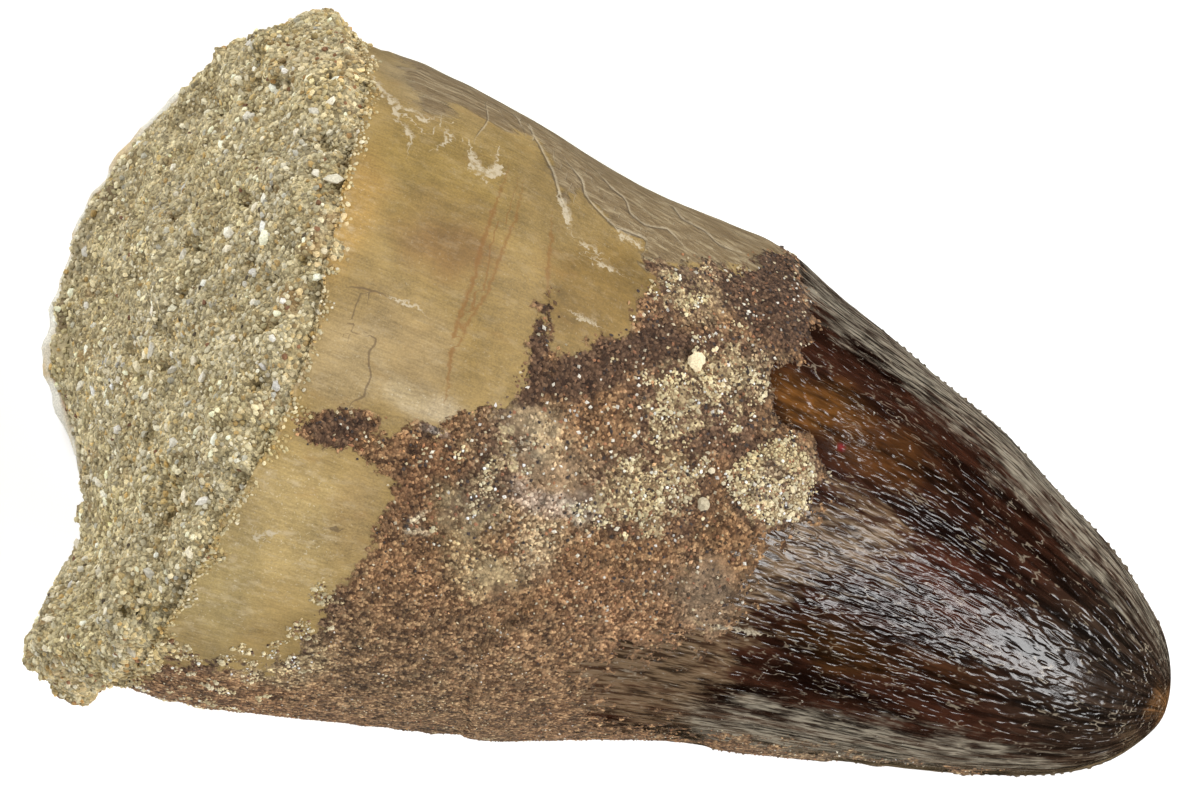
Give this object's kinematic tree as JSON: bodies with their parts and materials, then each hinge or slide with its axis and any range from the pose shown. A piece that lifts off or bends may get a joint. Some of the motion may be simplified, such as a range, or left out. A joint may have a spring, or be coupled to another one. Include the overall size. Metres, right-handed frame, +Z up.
{
  "type": "fossil mosasaur tooth",
  "caption": "Large conical fossil reptile tooth lying on its side: dark wrinkled enamel towards the tip, bare tan dentine, sandy crusts, and rock filling the obliquely broken base.",
  "frame": {"origin": "on the resting surface, under the middle of the bounding box", "axes": "+X from the broken base to the tip, +Y towards the front cutting edge, +Z up"},
  "size_m": [0.0597, 0.0366, 0.0258],
  "materials": {
    "enamel_and_dentine": "dark brown glossy enamel over satin tan dentine, with matt sandy crusts",
    "sandy_rock": "matt, granular"
  },
  "bodies": {
    "root": {"tooth_crown": "enamel_and_dentine", "sand_matrix": "sandy_rock"}
  },
  "joints": []
}
